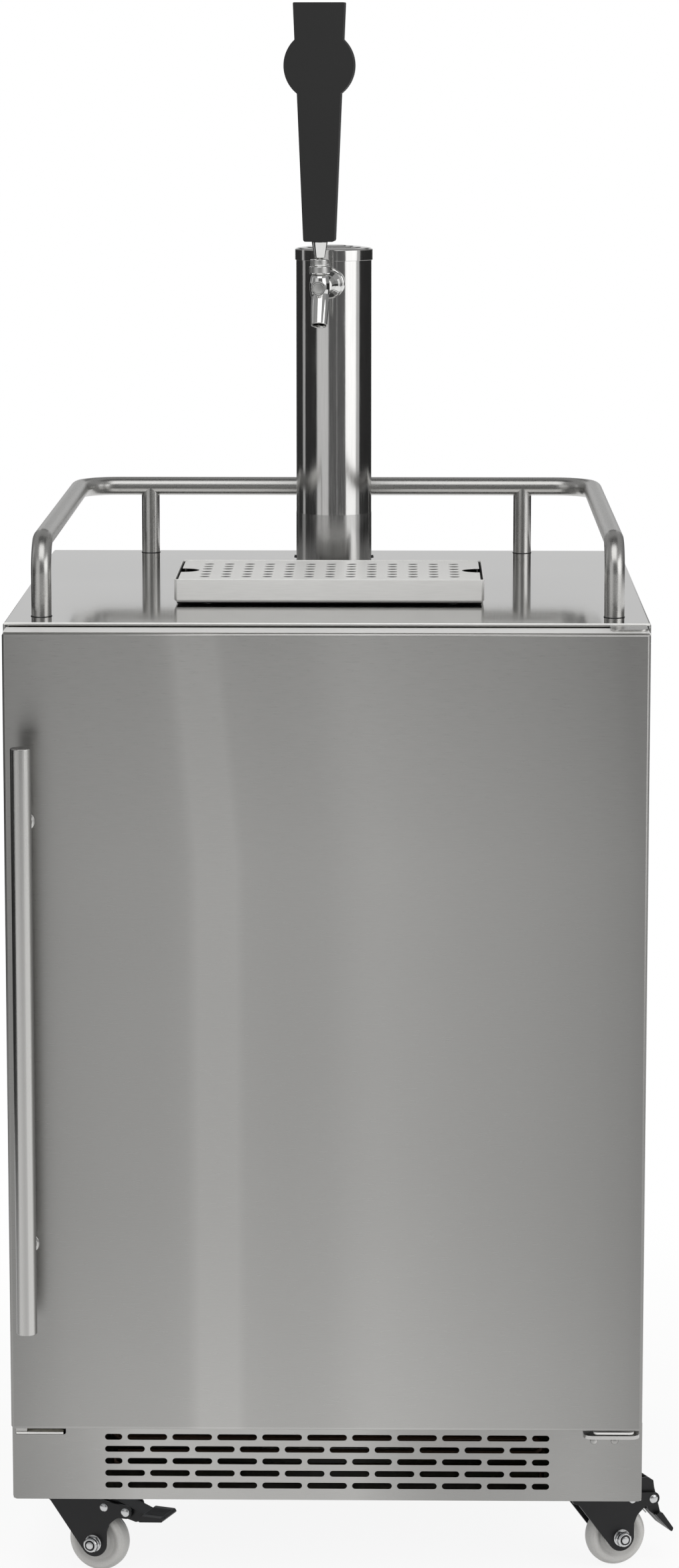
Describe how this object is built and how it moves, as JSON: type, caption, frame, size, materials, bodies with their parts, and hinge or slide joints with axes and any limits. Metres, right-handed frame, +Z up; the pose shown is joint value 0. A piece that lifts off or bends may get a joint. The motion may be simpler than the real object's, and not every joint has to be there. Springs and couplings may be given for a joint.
{
  "type": "kegerator",
  "caption": "Stainless beer dispenser: a refrigerated cabinet on swivel casters with a hinged door, a tap tower, a drip tray and a guard rail on top.",
  "frame": {"origin": "on the floor, at the centre of the whole object's outline seen from above, casters and door handle included", "axes": "+X to the right and +Y to the back for someone who stands at the tap, +Z up"},
  "size_m": [0.6348, 0.7056, 1.4983],
  "materials": {
    "brushed_stainless": "brushed",
    "polished_stainless": "polished",
    "chromed_brass": "polished",
    "zinc_steel": "dull zinc",
    "black_enamel": "satin",
    "matte_black": "matte",
    "grey_tyre": "satin",
    "liner_plastic": "smooth",
    "seal_rubber": "matte",
    "foam": "rough",
    "copper": "bright",
    "cast_metal": "cast",
    "bottle_paint": "painted"
  },
  "bodies": {
    "cabinet": {"insulation": "foam", "left_side_panel": "brushed_stainless", "right_side_panel": "brushed_stainless", "top_panel": "brushed_stainless", "back_panel": "zinc_steel", "compressor_cover": "zinc_steel", "base_pan": "zinc_steel", "kick_plate": "brushed_stainless", "inner_liner": "liner_plastic", "hinge_lower_bracket": "polished_stainless", "hinge_upper_bracket": "polished_stainless", "guard_rail": "polished_stainless", "tower_flange": "polished_stainless", "tower_column": "polished_stainless", "tower_cap": "polished_stainless", "shank": "chromed_brass", "shank_flange": "chromed_brass", "coupling_nut": "chromed_brass", "faucet_body": "chromed_brass", "faucet_bonnet": "chromed_brass", "compressor": "black_enamel", "condenser_coil": "copper", "condenser_fan_shroud": "zinc_steel", "evaporator": "cast_metal", "evaporator_cover": "liner_plastic", "floor_plate": "brushed_stainless", "thermostat_housing": "liner_plastic", "co2_bottle": "bottle_paint", "regulator": "chromed_brass", "keg_coupler": "chromed_brass"},
    "door": {"door_skin": "brushed_stainless", "door_foam": "foam", "door_liner": "liner_plastic", "door_gasket": "seal_rubber", "door_handle_bar": "polished_stainless", "handle_post_lower": "polished_stainless", "handle_post_upper": "polished_stainless"},
    "tap_lever": {"faucet_lever": "chromed_brass", "tap_handle": "matte_black"},
    "tray": {"drip_tray": "brushed_stainless"},
    "grate": {"drip_grate": "brushed_stainless"},
    "cooling_fan": {"condenser_fan": "matte_black"},
    "cold_air_fan": {"evaporator_fan": "matte_black"},
    "temperature_knob": {"thermostat_knob": "matte_black"},
    "valve_knob": {"co2_valve_knob": "matte_black"},
    "pressure_knob": {"regulator_knob": "matte_black"},
    "coupler_lever": {"coupler_handle": "matte_black"},
    "fork_front_left": {"caster_fork_front_left": "black_enamel"},
    "wheel_front_left": {"caster_wheel_front_left": "grey_tyre"},
    "fork_front_right": {"caster_fork_front_right": "black_enamel"},
    "wheel_front_right": {"caster_wheel_front_right": "grey_tyre"},
    "fork_rear_left": {"caster_fork_rear_left": "black_enamel"},
    "wheel_rear_left": {"caster_wheel_rear_left": "grey_tyre"},
    "fork_rear_right": {"caster_fork_rear_right": "black_enamel"},
    "wheel_rear_right": {"caster_wheel_rear_right": "grey_tyre"},
    "pedal_front_left": {"brake_pedal_front_left": "black_enamel"},
    "pedal_front_right": {"brake_pedal_front_right": "black_enamel"}
  },
  "joints": [
    {"name": "door_hinge", "type": "hinge", "parent": "cabinet", "child": "door", "pos_m": [0.26606, -0.27625, 0.169], "axis": [0, 0, 1], "range_deg": [0, 105]},
    {"name": "tap_pull", "type": "hinge", "parent": "cabinet", "child": "tap_lever", "pos_m": [-0.02921, 0.03526, 1.246], "axis": [0.9962, -0.0872, 0], "range_deg": [0, 18]},
    {"name": "tray_lift", "type": "slide", "parent": "cabinet", "child": "tray", "axis": [0, 0, 1], "range_m": [0, 0.12]},
    {"name": "grate_lift", "type": "slide", "parent": "tray", "child": "grate", "axis": [0, 0, 1], "range_m": [0, 0.06]},
    {"name": "cooling_fan_spin", "type": "hinge", "parent": "cabinet", "child": "cooling_fan", "pos_m": [-0.13744, 0.2352, 0.1588], "axis": [0, 1, 0], "continuous": true},
    {"name": "cold_air_fan_spin", "type": "hinge", "parent": "cabinet", "child": "cold_air_fan", "pos_m": [-0.15244, 0.27425, 0.765], "axis": [0, 1, 0], "continuous": true},
    {"name": "temperature_turn", "type": "hinge", "parent": "cabinet", "child": "temperature_knob", "pos_m": [0.12756, -0.20055, 0.8677], "axis": [0, 1, 0], "range_deg": [0, 300]},
    {"name": "valve_turn", "type": "hinge", "parent": "cabinet", "child": "valve_knob", "pos_m": [0.14756, 0.24475, 0.8249], "axis": [0, 0, 1], "range_deg": [0, 350]},
    {"name": "pressure_turn", "type": "hinge", "parent": "cabinet", "child": "pressure_knob", "pos_m": [0.09856, 0.22445, 0.8066], "axis": [0, 1, 0], "range_deg": [0, 350]},
    {"name": "coupler_press", "type": "hinge", "parent": "cabinet", "child": "coupler_lever", "pos_m": [-0.02344, 0.24475, 0.4463], "axis": [0, -1, 0], "range_deg": [0, 65]},
    {"name": "swivel_front_left", "type": "hinge", "parent": "cabinet", "child": "fork_front_left", "pos_m": [-0.26744, -0.19325, 0.079], "axis": [0, 0, 1], "continuous": true},
    {"name": "wheel_spin_front_left", "type": "hinge", "parent": "fork_front_left", "child": "wheel_front_left", "pos_m": [-0.2385, -0.20436, 0.03004], "axis": [0.3584, 0.9336, 0], "continuous": true},
    {"name": "swivel_front_right", "type": "hinge", "parent": "cabinet", "child": "fork_front_right", "pos_m": [0.23256, -0.19325, 0.079], "axis": [0, 0, 1], "continuous": true},
    {"name": "wheel_spin_front_right", "type": "hinge", "parent": "fork_front_right", "child": "wheel_front_right", "pos_m": [0.26109, -0.18114, 0.03004], "axis": [-0.3907, 0.9205, 0], "continuous": true},
    {"name": "swivel_rear_left", "type": "hinge", "parent": "cabinet", "child": "fork_rear_left", "pos_m": [-0.26744, 0.29075, 0.079], "axis": [0, 0, 1], "continuous": true},
    {"name": "wheel_spin_rear_left", "type": "hinge", "parent": "fork_rear_left", "child": "wheel_rear_left", "pos_m": [-0.2375, 0.29877, 0.03004], "axis": [-0.2588, 0.9659, 0], "continuous": true},
    {"name": "swivel_rear_right", "type": "hinge", "parent": "cabinet", "child": "fork_rear_right", "pos_m": [0.23256, 0.29075, 0.079], "axis": [0, 0, 1], "continuous": true},
    {"name": "wheel_spin_rear_right", "type": "hinge", "parent": "fork_rear_right", "child": "wheel_rear_right", "pos_m": [0.20343, 0.30135, 0.03004], "axis": [-0.342, -0.9397, 0], "continuous": true},
    {"name": "brake_front_left", "type": "hinge", "parent": "fork_front_left", "child": "pedal_front_left", "pos_m": [-0.20676, -0.21654, 0.065], "axis": [0.3584, 0.9336, 0], "range_deg": [0, 55]},
    {"name": "brake_front_right", "type": "hinge", "parent": "fork_front_right", "child": "pedal_front_right", "pos_m": [0.29239, -0.16785, 0.065], "axis": [0.3907, -0.9205, 0], "range_deg": [0, 55]}
  ]
}
